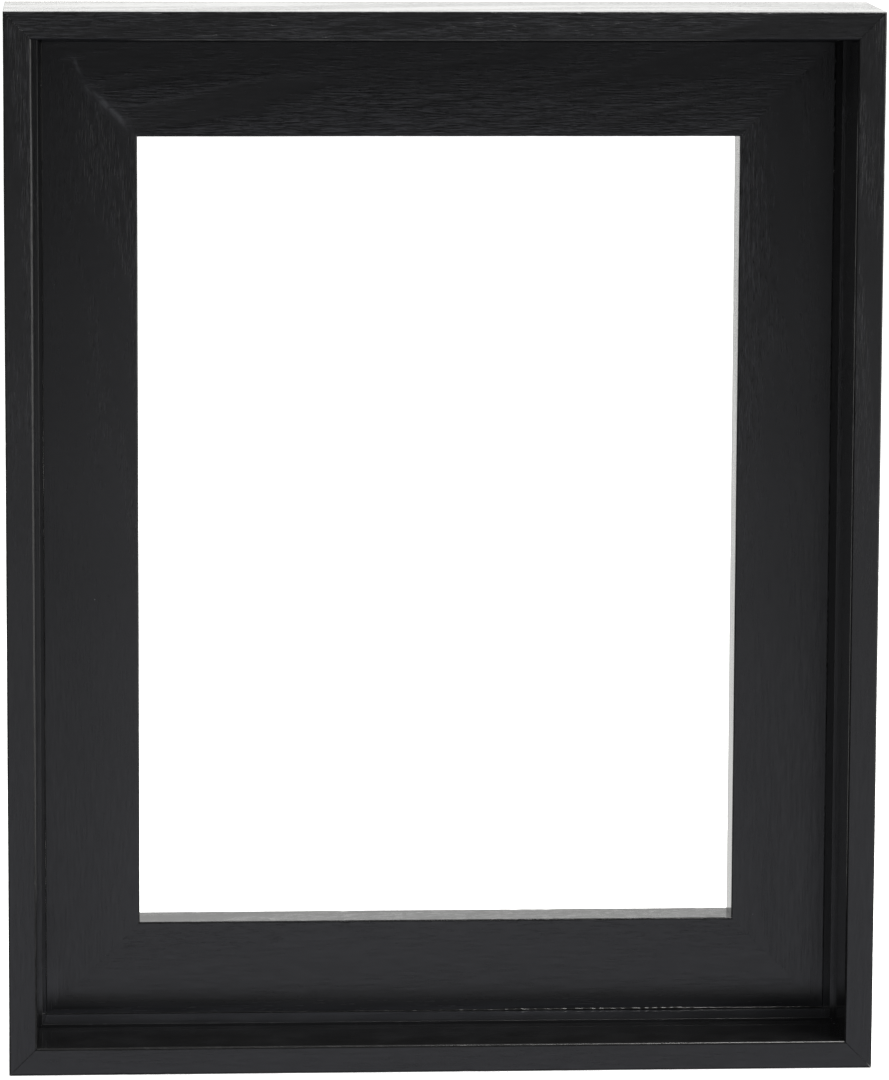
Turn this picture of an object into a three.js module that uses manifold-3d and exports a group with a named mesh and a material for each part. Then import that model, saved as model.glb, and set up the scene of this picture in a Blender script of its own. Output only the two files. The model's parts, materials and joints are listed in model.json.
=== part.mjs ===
// A deep black picture frame with a shadow gap: four lip rails around four ledge rails, all mitred at the
// corners, V-nails in the mitres, two strap hangers with swinging D-rings, and four rubber bumpers.
//
// Millimetres, +Z up. The frame stands on its bottom edge at z = 0 and faces -Y. x = 0 is its middle, and
// y = 0 is halfway between the face of the lip and the tips of the bumpers.

import * as THREE from 'three';
import { mergeVertices } from 'three/addons/utils/BufferGeometryUtils.js';
import Module from 'manifold-3d';

const wasm = await Module();
wasm.setup();

// ---------------------------------------------------------------- driving dimensions

const FRAME_WIDTH = 266;
const FRAME_HEIGHT = 326;
const FRAME_DEPTH = 50;

const LIP_FACE = 8.6; // width of the lip's front face
const STEP_INSET = 9.0; // the recess wall leans in a little towards its step
const STEP_DEPTH = 26; // depth at which the rounded step starts
const STEP_RADIUS = 1.1;
const LEDGE_INSET = 11.2; // where the bevel below the step meets the ledge
const LEDGE_DEPTH = 35; // the ledge's face, behind the lip's face
const OPENING_INSET = 40.4; // the ledge's inner edge

const EASE = 0.7; // radius of the eased edges
const GLUE_GAP = 0.3; // between a lip rail and its ledge rail
const MITRE_GAP = 0.2; // between two rails at a corner
const ARC_STEPS = 4; // chords in an eased edge

const NAIL = { height: 10, reach: 4, sweep: 2.4, thickness: 0.9, sunk: 0.4 };
const NAIL_GAP = 0.3; // between a V-nail and the wood around it
const LIP_NAILS = [9]; // places along the mitre, from the outer corner
const LEDGE_NAILS = [32, 48];

const BUMPER = { baseRadius: 6, topRadius: 4, height: 4.5, inset: 15, gap: 0.1 };

const STRAP = { width: 10, thickness: 0.7, tail: 30, endRadius: 4, holeDrop: 21.5 };
const EYE_RADIUS = 1.15; // inside of the rolled eye
const RING = { wireRadius: 0.9, width: 15, reach: 12.5 }; // reach is from the pivot to the bow's outside
const SCREW = { headRadius: 3.2, headHeight: 1.9, shankRadius: 1.4, length: 11.5, tip: 3 };
const SCREW_SLOT = { length: 3.6, width: 0.7, depth: 0.9 };
const HANGER_HEIGHT = 232; // of a ring's pivot, above the bottom edge
const HANGER_INSET = 25.5; // of a hanger's middle, from the outer side
const FIT_GAP = 0.3; // around a screw, and between strap and wood
const HEAD_GAP = 0.1; // between a screw's head and its strap

// ---------------------------------------------------------------- places worked out from them

const FRONT_Y = -(FRAME_DEPTH + BUMPER.height + BUMPER.gap) / 2;
const BACK_Y = FRONT_Y + FRAME_DEPTH;
const HALF_WIDTH = FRAME_WIDTH / 2;
const HALF_HEIGHT = FRAME_HEIGHT / 2;
const QUARTER = Math.PI / 2;
const BIG = 50; // how far a cutting tool overshoots

const BLACK_WOOD = { color: 0x1d1d1e, roughness: 0.42, metalness: 0 };
const STEEL = { color: 0xb8bcc0, roughness: 0.3, metalness: 1 };
const BRASSED = { color: 0xc2b280, roughness: 0.3, metalness: 1 };
const RUBBER = { color: 0x2a2a2c, roughness: 0.85, metalness: 0 };

// ---------------------------------------------------------------- booleans

function solid(geometry) {
  const bare = geometry.clone();
  bare.deleteAttribute('normal');
  bare.deleteAttribute('uv');
  const merged = mergeVertices(bare, 1e-4);
  const vertProperties = new Float32Array(merged.attributes.position.array);
  const triVerts = new Uint32Array(merged.index.array);
  return new wasm.Manifold(new wasm.Mesh({ numProp: 3, vertProperties, triVerts }));
}

function geometryOf(manifold) {
  const { vertProperties, triVerts } = manifold.getMesh();
  const geometry = new THREE.BufferGeometry();
  geometry.setAttribute('position', new THREE.BufferAttribute(new Float32Array(vertProperties), 3));
  geometry.setIndex(new THREE.BufferAttribute(new Uint32Array(triVerts), 1));
  geometry.computeVertexNormals();
  return geometry;
}

const cut = (body, tools) => tools.reduce((left, tool) => left.subtract(solid(tool)), body);

function named(name, geometry, look) {
  const mesh = new THREE.Mesh(geometry, new THREE.MeshStandardMaterial(look));
  mesh.name = name;
  return mesh;
}

// ---------------------------------------------------------------- rail sections, x = inset, y = depth

// Rounds an edge about a centre, from one direction to another, each given in quarter turns.
function ease(shape, centreX, centreY, radius, fromQuarter, toQuarter) {
  const clockwise = toQuarter < fromQuarter;
  shape.absarc(centreX, centreY, radius, fromQuarter * QUARTER, toQuarter * QUARTER, clockwise);
}

function lipSection() {
  const shape = new THREE.Shape();
  shape.moveTo(0, FRAME_DEPTH);
  shape.lineTo(0, EASE);
  ease(shape, EASE, EASE, EASE, 2, 3);
  ease(shape, LIP_FACE - EASE, EASE, EASE, 3, 4);
  shape.lineTo(STEP_INSET, STEP_DEPTH);
  const shoulder = STEP_INSET + STEP_RADIUS;
  shape.quadraticCurveTo(shoulder, STEP_DEPTH, shoulder, STEP_DEPTH + 2 * STEP_RADIUS);
  shape.lineTo(LEDGE_INSET, LEDGE_DEPTH);
  shape.lineTo(LEDGE_INSET, FRAME_DEPTH);
  shape.closePath();
  return shape;
}

function ledgeSection() {
  const outer = LEDGE_INSET + GLUE_GAP;
  const shape = new THREE.Shape();
  shape.moveTo(outer, FRAME_DEPTH);
  shape.lineTo(outer, LEDGE_DEPTH);
  ease(shape, OPENING_INSET - EASE, LEDGE_DEPTH + EASE, EASE, 3, 4);
  ease(shape, OPENING_INSET - EASE, FRAME_DEPTH - EASE, EASE, 0, 1);
  shape.closePath();
  return shape;
}

// ---------------------------------------------------------------- one side of the frame
//
// A side is built upright, on the left: x runs in from the outer side, y runs back, and z runs along the rail
// from its middle.

// Extrudes a section along z and leans its ends to 45 degrees, so that a point at inset u ends at half - u.
function mitred(section, outerHalf) {
  const geometry = new THREE.ExtrudeGeometry(section, {
    depth: 2,
    steps: 1,
    bevelEnabled: false,
    curveSegments: ARC_STEPS,
  });
  const places = geometry.attributes.position;
  for (let i = 0; i < places.count; i += 1) {
    const end = places.getZ(i) > 1 ? 1 : -1;
    places.setZ(i, end * (outerHalf - places.getX(i) - MITRE_GAP / Math.SQRT2));
  }
  return geometry;
}

// A V-nail's outline: a chevron with its point towards the outer corner. grow widens it all round, which
// gives its slot.
function chevron(grow) {
  const { reach, sweep, thickness } = NAIL;
  const lead = grow * Math.hypot(1, sweep / reach);
  const wing = reach + grow;
  const swept = (sweep * wing) / reach;
  const shape = new THREE.Shape();
  shape.moveTo(-lead, 0);
  shape.lineTo(swept - lead, wing);
  shape.lineTo(swept + thickness + lead, wing);
  shape.lineTo(thickness + lead, 0);
  shape.lineTo(swept + thickness + lead, -wing);
  shape.lineTo(swept - lead, -wing);
  shape.closePath();
  return shape;
}

// The V-nail at a distance along the mitre, at the end +1 or -1 of the upright left side. The chevron's x
// axis runs along the mitre, from the outer corner inwards, and it is driven in from the back.
function nailGeometry(along, outerHalf, end, grow) {
  const depth = NAIL.height + 2 * grow + (grow > 0 ? BIG : 0);
  const geometry = new THREE.ExtrudeGeometry(chevron(grow), { depth, bevelEnabled: false });
  const inwards = new THREE.Vector3(1, 0, -end).normalize();
  const forwards = new THREE.Vector3(0, 1, 0);
  const across = new THREE.Vector3().crossVectors(forwards, inwards);
  geometry.applyMatrix4(new THREE.Matrix4().makeBasis(inwards, across, forwards));
  const depthAt = FRAME_DEPTH - NAIL.sunk - NAIL.height - grow;
  geometry.translate(inwards.x * along, depthAt, end * outerHalf + inwards.z * along);
  return geometry;
}

function nailSlots(places, outerHalf) {
  return [-1, 1].flatMap((end) => places.map((along) => nailGeometry(along, outerHalf, end, NAIL_GAP)));
}

function pilotHole(height) {
  const radius = SCREW.shankRadius + FIT_GAP;
  const geometry = new THREE.CylinderGeometry(radius, radius, SCREW.length + BIG, 24);
  geometry.translate(HANGER_INSET, FRAME_DEPTH - SCREW.length + (SCREW.length + BIG) / 2, height);
  return geometry;
}

const SCREW_HEIGHT = HANGER_HEIGHT - STRAP.holeDrop;

function side(name, outerHalf, halfAcross, turn, screwAt) {
  const group = new THREE.Group();
  group.rotation.y = turn;
  const holder = new THREE.Group();
  holder.position.set(-halfAcross, FRONT_Y, 0);
  group.add(holder);
  const lip = cut(solid(mitred(lipSection(), outerHalf)), nailSlots(LIP_NAILS, outerHalf));
  const ledgeTools = nailSlots(LEDGE_NAILS, outerHalf);
  if (screwAt !== null) {
    ledgeTools.push(pilotHole(screwAt));
  }
  const ledge = cut(solid(mitred(ledgeSection(), outerHalf)), ledgeTools);
  holder.add(named(`lip_rail_${name}`, geometryOf(lip), BLACK_WOOD));
  holder.add(named(`ledge_rail_${name}`, geometryOf(ledge), BLACK_WOOD));
  return { group, holder };
}

// ---------------------------------------------------------------- hanger

// The eye's axis runs along x at the origin, and the wood's back face is at y = -EYE_CENTRE.
const STRAP_BACK = FIT_GAP; // the strap lies this far off the wood
const EYE_CENTRE = STRAP_BACK + STRAP.thickness + EYE_RADIUS;

function strapGeometry() {
  const outerRadius = EYE_RADIUS + STRAP.thickness;
  const profile = new THREE.Shape(); // x = y of the hanger, y = z of the hanger
  profile.moveTo(-outerRadius, 0);
  profile.absarc(0, 0, outerRadius, Math.PI, -QUARTER, true);
  profile.lineTo(-EYE_RADIUS, -outerRadius);
  profile.lineTo(-EYE_RADIUS, -STRAP.tail);
  profile.lineTo(-outerRadius, -STRAP.tail);
  profile.closePath();
  const eye = new THREE.Path();
  eye.absarc(0, 0, EYE_RADIUS, 0, 2 * Math.PI, false);
  profile.holes.push(eye);
  const rolled = new THREE.ExtrudeGeometry(profile, {
    depth: STRAP.width,
    bevelEnabled: false,
    curveSegments: 10,
  });
  rolled.translate(0, 0, -STRAP.width / 2);
  const swap = new THREE.Matrix4().makeBasis(
    new THREE.Vector3(0, 1, 0),
    new THREE.Vector3(0, 0, 1),
    new THREE.Vector3(1, 0, 0),
  );
  rolled.applyMatrix4(swap);

  const half = STRAP.width / 2;
  const above = outerRadius + 1; // the outline overshoots the eye by 1 mm
  const cornerX = half - STRAP.endRadius;
  const cornerZ = -STRAP.tail + STRAP.endRadius;
  const plan = new THREE.Shape(); // x, z of the hanger
  plan.moveTo(-half, above);
  ease(plan, -cornerX, cornerZ, STRAP.endRadius, 2, 3);
  ease(plan, cornerX, cornerZ, STRAP.endRadius, 3, 4);
  plan.lineTo(half, above);
  plan.closePath();
  const outline = new THREE.ExtrudeGeometry(plan, { depth: 2 * BIG, bevelEnabled: false, curveSegments: 8 });
  outline.translate(0, 0, -BIG);
  outline.rotateX(QUARTER);

  const radius = SCREW.shankRadius + FIT_GAP;
  const hole = new THREE.CylinderGeometry(radius, radius, 2 * BIG, 24);
  hole.translate(0, 0, -STRAP.holeDrop);
  return geometryOf(cut(solid(rolled).intersect(solid(outline)), [hole]));
}

// A D of wire hanging down: a straight bar on the x axis, rounded corners and a bow below it.
function ringGeometry() {
  const { wireRadius, width, reach } = RING;
  const half = width / 2 - wireRadius;
  const low = reach - wireRadius;
  const section = new THREE.Shape();
  section.absarc(0, 0, wireRadius, 0, 2 * Math.PI, false);
  const bowCentre = half - low;
  const bowSteps = 16;
  const bow = Array.from({ length: bowSteps + 1 }, (_, i) => {
    const angle = Math.PI + (Math.PI * i) / bowSteps;
    return new THREE.Vector3(half * Math.cos(angle), 0, bowCentre + half * Math.sin(angle));
  });
  const path = new THREE.CatmullRomCurve3([
    new THREE.Vector3(-half, 0, 0),
    ...bow,
    new THREE.Vector3(half, 0, 0),
  ], false, 'centripetal');
  const wire = new THREE.ExtrudeGeometry(section, {
    steps: 40,
    curveSegments: 5,
    bevelEnabled: false,
    extrudePath: path,
  });
  const bar = new THREE.CylinderGeometry(wireRadius, wireRadius, 2 * half, 10);
  bar.rotateZ(QUARTER);
  const corners = [-half, half].map((x) => {
    const ball = new THREE.SphereGeometry(wireRadius * 1.02, 12, 8);
    ball.translate(x, 0, 0);
    return ball;
  });
  const whole = [bar, ...corners].reduce((sum, piece) => sum.add(solid(piece)), solid(wire));
  return geometryOf(whole);
}

// A pan-head screw along +y, its head's underside at y = 0 and its tip at y = -length.
function screwGeometry() {
  const { headRadius, headHeight, shankRadius, length, tip } = SCREW;
  const crown = 0.6;
  const points = [
    [0, -length],
    [shankRadius, -length + tip],
    [shankRadius, 0],
    [headRadius, 0],
    [headRadius, headHeight - crown],
    [headRadius - crown * 0.3, headHeight - crown * 0.3],
    [headRadius - crown, headHeight],
    [0, headHeight],
  ].map(([radius, height]) => new THREE.Vector2(radius, height));
  const body = solid(new THREE.LatheGeometry(points, 24));
  const slots = [0, QUARTER].map((turn) => {
    const slot = new THREE.BoxGeometry(SCREW_SLOT.length, 2 * SCREW_SLOT.depth, SCREW_SLOT.width);
    slot.rotateY(turn + QUARTER / 2);
    slot.translate(0, headHeight, 0);
    return slot;
  });
  return geometryOf(cut(body, slots));
}

function hanger(name, x) {
  const group = new THREE.Group();
  group.position.set(x, BACK_Y + EYE_CENTRE, HANGER_HEIGHT);
  group.add(named(`hanger_strap_${name}`, strapGeometry(), STEEL));
  group.add(named(`hanger_ring_${name}`, ringGeometry(), STEEL));
  const screw = named(`hanger_screw_${name}`, screwGeometry(), BRASSED);
  screw.position.set(0, -EYE_RADIUS + HEAD_GAP, -STRAP.holeDrop);
  group.add(screw);
  return group;
}

// ---------------------------------------------------------------- bumper

function bumperGeometry() {
  const { baseRadius, topRadius, height } = BUMPER;
  const rim = 0.6; // height of the straight rim below the rounded shoulder
  const steps = 5;
  const shoulder = Array.from({ length: steps + 1 }, (_, i) => {
    const angle = (QUARTER * i) / steps;
    return [topRadius + (baseRadius - topRadius) * Math.cos(angle), rim + (height - rim) * Math.sin(angle)];
  });
  const points = [[0, 0], [baseRadius, 0], ...shoulder, [0, height]];
  const profile = points.map(([radius, up]) => new THREE.Vector2(radius, up));
  return new THREE.LatheGeometry(profile, 28);
}

// ---------------------------------------------------------------- the whole frame

const frame = new THREE.Group();
frame.name = 'shadow_gap_frame';

const middle = new THREE.Group();
middle.position.z = HALF_HEIGHT;
frame.add(middle);

// up is +1 where z of the side's own frame points up, -1 where it points down, and 0 on a level side.
const SIDES = [
  { name: 'left', half: HALF_HEIGHT, across: HALF_WIDTH, turn: 0, up: 1 },
  { name: 'right', half: HALF_HEIGHT, across: HALF_WIDTH, turn: 2 * QUARTER, up: -1 },
  { name: 'bottom', half: HALF_WIDTH, across: HALF_HEIGHT, turn: -QUARTER, up: 0 },
  { name: 'top', half: HALF_WIDTH, across: HALF_HEIGHT, turn: QUARTER, up: 0 },
];

for (const { name, half, across, turn, up } of SIDES) {
  const screwAt = up === 0 ? null : up * (SCREW_HEIGHT - HALF_HEIGHT);
  const { group, holder } = side(name, half, across, turn, screwAt);
  middle.add(group);
  // Each upright side carries the V-nails of the two corners that it reaches.
  const ends = up === 0 ? [] : [-1, 1];
  for (const end of ends) {
    const corner = `${end === up ? 'top' : 'bottom'}_${name}`;
    LIP_NAILS.forEach((along) => {
      holder.add(named(`v_nail_lip_${corner}`, nailGeometry(along, half, end, 0), STEEL));
    });
    LEDGE_NAILS.forEach((along, i) => {
      holder.add(named(`v_nail_ledge_${corner}_${i + 1}`, nailGeometry(along, half, end, 0), STEEL));
    });
  }
}

frame.add(hanger('left', -(HALF_WIDTH - HANGER_INSET)));
frame.add(hanger('right', HALF_WIDTH - HANGER_INSET));

for (const [across, xSign] of [['left', -1], ['right', 1]]) {
  for (const [level, z] of [['bottom', BUMPER.inset], ['top', FRAME_HEIGHT - BUMPER.inset]]) {
    const bumper = named(`bumper_${level}_${across}`, bumperGeometry(), RUBBER);
    bumper.position.set(xSign * (HALF_WIDTH - BUMPER.inset), BACK_Y + BUMPER.gap, z);
    frame.add(bumper);
  }
}

export default frame;
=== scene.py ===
# %% [markdown]
# # A deep black frame with a shadow gap
#
# The frame is made of two layers of moulding. A narrow lip rail runs round the outside and stands forward.
# A wide flat ledge rail is glued inside it, further back, so that a canvas can sit in the recess with a
# dark gap round its edge. All eight rails are wood, cut to 45 degrees at both ends, and sprayed with satin
# black lacquer. The size and the joints are fixed already, so this lesson only builds the finer surfaces:
# we load the fixed model and measure everything else from it.

import json
import math

import bpy
import numpy as np
from mathutils import Matrix, Vector


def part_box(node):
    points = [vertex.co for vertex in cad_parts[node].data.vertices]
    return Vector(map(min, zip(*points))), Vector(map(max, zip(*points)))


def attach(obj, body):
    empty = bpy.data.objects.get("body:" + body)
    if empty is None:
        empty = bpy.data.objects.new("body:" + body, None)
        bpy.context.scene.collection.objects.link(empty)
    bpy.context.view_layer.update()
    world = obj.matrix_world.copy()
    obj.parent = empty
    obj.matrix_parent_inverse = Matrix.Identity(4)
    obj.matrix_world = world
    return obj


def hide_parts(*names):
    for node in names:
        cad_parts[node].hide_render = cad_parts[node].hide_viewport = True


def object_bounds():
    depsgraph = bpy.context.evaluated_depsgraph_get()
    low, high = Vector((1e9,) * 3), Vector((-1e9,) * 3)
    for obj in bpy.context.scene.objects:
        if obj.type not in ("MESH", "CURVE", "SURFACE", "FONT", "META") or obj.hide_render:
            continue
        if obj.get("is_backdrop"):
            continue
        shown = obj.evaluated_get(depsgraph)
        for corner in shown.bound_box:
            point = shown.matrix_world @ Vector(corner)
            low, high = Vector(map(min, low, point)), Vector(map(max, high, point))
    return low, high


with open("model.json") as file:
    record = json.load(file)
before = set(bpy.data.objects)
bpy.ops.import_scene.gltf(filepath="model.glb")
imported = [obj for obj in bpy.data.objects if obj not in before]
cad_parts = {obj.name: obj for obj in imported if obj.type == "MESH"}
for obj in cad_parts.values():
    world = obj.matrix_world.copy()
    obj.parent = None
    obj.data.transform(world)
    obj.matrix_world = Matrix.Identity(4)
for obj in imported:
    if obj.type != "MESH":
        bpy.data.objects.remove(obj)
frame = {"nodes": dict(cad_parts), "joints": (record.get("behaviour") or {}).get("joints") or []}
cad_low, cad_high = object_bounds()
print("fixed nodes:", len(frame["nodes"]), "box:", tuple(cad_low), tuple(cad_high))

# %% [markdown]
# ## Measures
#
# A section through any side of the frame is drawn with two numbers: the inset, counted inwards from the
# outer side, and the depth, counted back from the lip's face. The boxes of three nodes give nearly all of
# them. The width of the lip, the step in the recess wall and the size of the eased edges are the joiner's
# own choices.

# %% Measures of the two mouldings
MM = 0.001

lip_low, lip_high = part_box("lip_rail_left")
ledge_low, ledge_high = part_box("ledge_rail_left")
top_low, top_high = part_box("lip_rail_top")

FRONT_Y = lip_low.y
DEPTH = lip_high.y - lip_low.y
HALF_WIDTH = -lip_low.x
HALF_HEIGHT = top_high.z / 2
LEDGE_INSET = lip_high.x - lip_low.x
LEDGE_DEPTH = ledge_low.y - FRONT_Y
OPENING_INSET = ledge_high.x - lip_low.x

LIP_FACE = 8.6 * MM
STEP_INSET = 9.0 * MM
STEP_DEPTH = 26 * MM
STEP_RISE = 1.1 * MM
STEP_EASE = 0.15 * MM
EASE = 0.55 * MM
INNER_EASE = 0.8 * MM
BACK_EASE = 0.3 * MM
LEDGE_EASE = 0.2 * MM
GLUE_LINE = 0.04 * MM
print(f"frame {2 * HALF_WIDTH:.3f} x {2 * HALF_HEIGHT:.3f} x {DEPTH:.3f} m, ledge at {LEDGE_DEPTH:.4f} m")

# %% [markdown]
# ## Sections
#
# A moulding is one closed outline carried along a straight line, so the outline is worth drawing well. Flat
# stretches get a point close to each end, which keeps their shading flat, and the eased edges are true
# arcs. A bevel modifier could round the edges too, but arcs in the outline give the same roundness on every
# rail and cost nothing when the rail is cut to 45 degrees.

# %% Outline helpers
def arc(centre, radius, start, stop, count=9):
    """Points on a circle: centre + radius (cos a, sin a), with a from start to stop in degrees."""
    angle = np.radians(np.linspace(start, stop, count))
    return np.stack([centre[0] + radius * np.cos(angle), centre[1] + radius * np.sin(angle)], axis=1)


def flat(start, stop, spacing=1.5 * MM, guard=0.12 * MM):
    """Points strictly between two ends: one a guard's length from each, and the rest evenly spaced."""
    start, stop = np.array(start), np.array(stop)
    length = np.linalg.norm(stop - start)
    count = max(int(length / spacing), 2)
    share = np.concatenate([[guard / length], np.arange(1, count) / count, [1 - guard / length]])
    return start + share[:, None] * (stop - start)


def lip_outline():
    """The lip rail's section: from its back outer corner forwards, over the face, down the recess wall."""
    shoulder = STEP_INSET + STEP_RISE
    foot = (LEDGE_INSET, LEDGE_DEPTH)
    back = DEPTH - BACK_EASE
    return np.concatenate([
        arc((BACK_EASE, back), BACK_EASE, 90, 180, 5),
        flat((0, back), (0, EASE)),
        arc((EASE, EASE), EASE, 180, 270),
        flat((EASE, 0), (LIP_FACE - INNER_EASE, 0)),
        arc((LIP_FACE - INNER_EASE, INNER_EASE), INNER_EASE, 270, 360, 13),
        flat((LIP_FACE, INNER_EASE), (STEP_INSET, STEP_DEPTH)),
        [(STEP_INSET, STEP_DEPTH)],
        flat((STEP_INSET, STEP_DEPTH), (shoulder - STEP_EASE, STEP_DEPTH), 0.4 * MM),
        arc((shoulder - STEP_EASE, STEP_DEPTH + STEP_EASE), STEP_EASE, 270, 360, 5),
        flat((shoulder, STEP_DEPTH + STEP_EASE), foot, 0.8 * MM),
        [foot],
        flat(foot, (LEDGE_INSET, DEPTH)),
        [(LEDGE_INSET, DEPTH)],
        flat((LEDGE_INSET, DEPTH), (BACK_EASE, DEPTH)),
    ])


def ledge_outline():
    """The ledge rail's section: from its back outer corner forwards, over the ledge, down the opening."""
    outer = LEDGE_INSET + GLUE_LINE
    inner = OPENING_INSET
    return np.concatenate([
        [(outer, DEPTH)],
        flat((outer, DEPTH), (outer, LEDGE_DEPTH + LEDGE_EASE)),
        arc((outer + LEDGE_EASE, LEDGE_DEPTH + LEDGE_EASE), LEDGE_EASE, 180, 270, 5),
        flat((outer + LEDGE_EASE, LEDGE_DEPTH), (inner - EASE, LEDGE_DEPTH), 1.0 * MM),
        arc((inner - EASE, LEDGE_DEPTH + EASE), EASE, 270, 360),
        flat((inner, LEDGE_DEPTH + EASE), (inner, DEPTH - BACK_EASE)),
        arc((inner - BACK_EASE, DEPTH - BACK_EASE), BACK_EASE, 0, 90, 5),
        flat((inner - BACK_EASE, DEPTH), (outer, DEPTH)),
    ])


print("lip outline:", len(lip_outline()), "points, ledge outline:", len(ledge_outline()), "points")

# %% [markdown]
# ## From points to a piece
#
# Every new piece here is a grid of points: one direction goes round a section, the other runs along the
# piece. Numbering the points row by row lets numpy write down all the faces at once. A grid can come out
# with its faces pointing inwards, so each closed piece is tested: the volume inside it is positive only
# when its faces point out.

# %% Grid helpers
def quads(rows, columns, close_rows=False):
    """Corners of the faces of a grid whose point (r, c) is numbered r * columns + c; columns are rings."""
    r = np.arange(rows if close_rows else rows - 1)[:, None]
    c = np.arange(columns)[None, :]
    r_next, c_next = (r + 1) % rows, (c + 1) % columns
    corners = [r * columns + c, r_next * columns + c, r_next * columns + c_next, r * columns + c_next]
    return np.stack([np.broadcast_to(k, (r.size, c.size)) for k in corners], axis=-1).reshape(-1, 4).tolist()


def tube_faces(rows, columns):
    """Faces of a tube whose rows are closed rings, with a flat cap on its first and last ring."""
    last = (rows - 1) * columns
    return quads(rows, columns) + [list(range(columns))[::-1], list(range(last, last + columns))]


def inside_volume(mesh):
    """Six times the volume inside a closed mesh: the sum of a . (b x c) over its triangles."""
    mesh.calc_loop_triangles()
    corners = np.empty(3 * len(mesh.loop_triangles), np.int32)
    mesh.loop_triangles.foreach_get("vertices", corners)
    places = np.empty(3 * len(mesh.vertices), np.float32)
    mesh.vertices.foreach_get("co", places)
    places = places.astype(float).reshape(-1, 3)
    a, b, c = (places - places.mean(axis=0))[corners.reshape(-1, 3)].transpose(1, 0, 2)
    return np.sum(a * np.cross(b, c))


def make_piece(name, points, faces, sharp=35, marks=None):
    """A mesh object at the origin, its faces turned outwards, smooth between edges, with its own marks."""
    mesh = bpy.data.meshes.new(name)
    places = np.reshape(points, (-1, 3)).tolist()
    mesh.from_pydata(places, [], faces)
    if inside_volume(mesh) < 0:
        mesh.clear_geometry()
        mesh.from_pydata(places, [], [face[::-1] for face in faces])
    mesh.shade_smooth()
    mesh.set_sharp_from_angle(angle=math.radians(sharp))
    for key, values in (marks or {}).items():
        vector = values.ndim == 2
        made = mesh.attributes.new(key, "FLOAT_VECTOR" if vector else "FLOAT", "POINT")
        made.data.foreach_set("vector" if vector else "value", values.astype(np.float32).ravel())
    mesh.update()
    piece = bpy.data.objects.new(name, mesh)
    bpy.context.collection.objects.link(piece)
    return piece


print("faces of a tube of 3 rings of 4 points:", tube_faces(3, 4))

# %% [markdown]
# ## Small faults
#
# Real mouldings are never perfectly straight or sharp. Slow waves move a rail's surface a hundredth of a
# millimetre or two along its normals, and its edges get small dents from handling. A Displace modifier
# could do it with a texture and a weight for each edge. Here the section already knows where its edges are,
# so the points are moved as the rail is made.

# %% Wear along the edges
def waves(place, lengths, rng):
    """A sum of sines of the place along a rail, one for each wavelength, each with its own start."""
    starts = rng.uniform(0, 2 * np.pi, len(lengths))
    return sum(np.sin(2 * np.pi * place / length + start) for length, start in zip(lengths, starts))


def dents(place, half, count, rng, deep=0.12 * MM, wide=0.8 * MM):
    """How deep small dents are at a place: the sum of d exp(-((place - p) / w)^2) over random dents."""
    at = rng.uniform(-half, half, count)
    depth = deep * rng.uniform(0.2, 1.0, count) ** 2
    width = wide * rng.uniform(0.5, 1.6, count)
    return (depth * np.exp(-(((place[..., None] - at) / width) ** 2))).sum(axis=-1)


def outline_normals(outline):
    """Unit normals of a closed outline, from the line between each point's two neighbours."""
    along = np.roll(outline, -1, axis=0) - np.roll(outline, 1, axis=0)
    normal = np.stack([along[:, 1], -along[:, 0]], axis=1)
    normal /= np.linalg.norm(normal, axis=1, keepdims=True)
    turning = np.sum(outline[:, 0] * np.roll(outline[:, 1], -1) - np.roll(outline[:, 0], -1) * outline[:, 1])
    return normal if turning > 0 else -normal


def near(outline, corners, reach):
    """1 at the named corners of a section, falling off as exp(-(distance / reach)^2)."""
    gaps = np.linalg.norm(outline[:, None, :] - np.array(corners)[None], axis=2).min(axis=1)
    return np.exp(-((gaps / reach) ** 2))


print("waves at three places:", waves(np.array([0, 0.05, 0.1]), (0.3, 0.14), np.random.default_rng(1)))

# %% [markdown]
# ## From an outline to a rail
#
# A mitre is only a lean of the two ends: a point with a larger inset stops sooner, by exactly its inset. So
# one outline makes all four sides, and each side is the left one turned by quarter turns. Every point also
# carries marks for the finish: where it lies in the board, how near an edge or the seam it is, whether it
# is on the back, and how open the grain is there. That last mark also paints shade: it keeps the ledge
# darker beside the recess wall, where the lip shades it, and lighter towards the opening.

# %% The four sides
# Each side: quarter turns about Y from the left side, half its length, and half the frame across it.
SIDES = {
    "left": (0, HALF_HEIGHT, HALF_WIDTH),
    "bottom": (1, HALF_WIDTH, HALF_HEIGHT),
    "right": (2, HALF_HEIGHT, HALF_WIDTH),
    "top": (3, HALF_WIDTH, HALF_HEIGHT),
}
MIDDLE = np.array([0, FRONT_Y, HALF_HEIGHT])


def placed(inset, depth, along, side):
    """Frame coordinates of a point on a side: the left side's point, turned by quarter turns about Y."""
    turns, _, across = SIDES[side]
    x, z = inset - across, along
    for _ in range(turns):
        x, z = -z, x
    return MIDDLE + np.stack([x, depth, z], axis=-1)


print("middle of the bottom side:", placed(0.0, 0.0, 0.0, "bottom"))

# %% [markdown]
# ### Carrying the outline
#
# The grain mark is a place in the board and not in the room: the distance along the rail, the distance
# round its section, and one number for the board itself. That is what makes the grain run along each rail
# and change from one to the next.

# %% Carry an outline along one side
def openness_and_painted_light(inset):
    """How open the grain is, and how lit the paint is: 0.45 on the lip, and 0.08 + 0.92 s^1.6 on the ledge,
    with s across it, so the ledge is painted in shade beside the recess wall.
    """
    ledge = np.clip((inset - LEDGE_INSET) / (OPENING_INSET - LEDGE_INSET), 0, 1) ** 1.6
    return np.where(inset > LEDGE_INSET, 0.08 + 0.92 * ledge, 0.45)


def beside_seam(inset, depth):
    """How near the seam of lip and ledge: exp(-(d / r)^2), with r longer on the recess wall."""
    reach = np.where(inset > LEDGE_INSET, 4.5 * MM, 8.0 * MM)
    return np.exp(-(np.hypot(inset - LEDGE_INSET, depth - LEDGE_DEPTH) / reach) ** 2)


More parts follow.
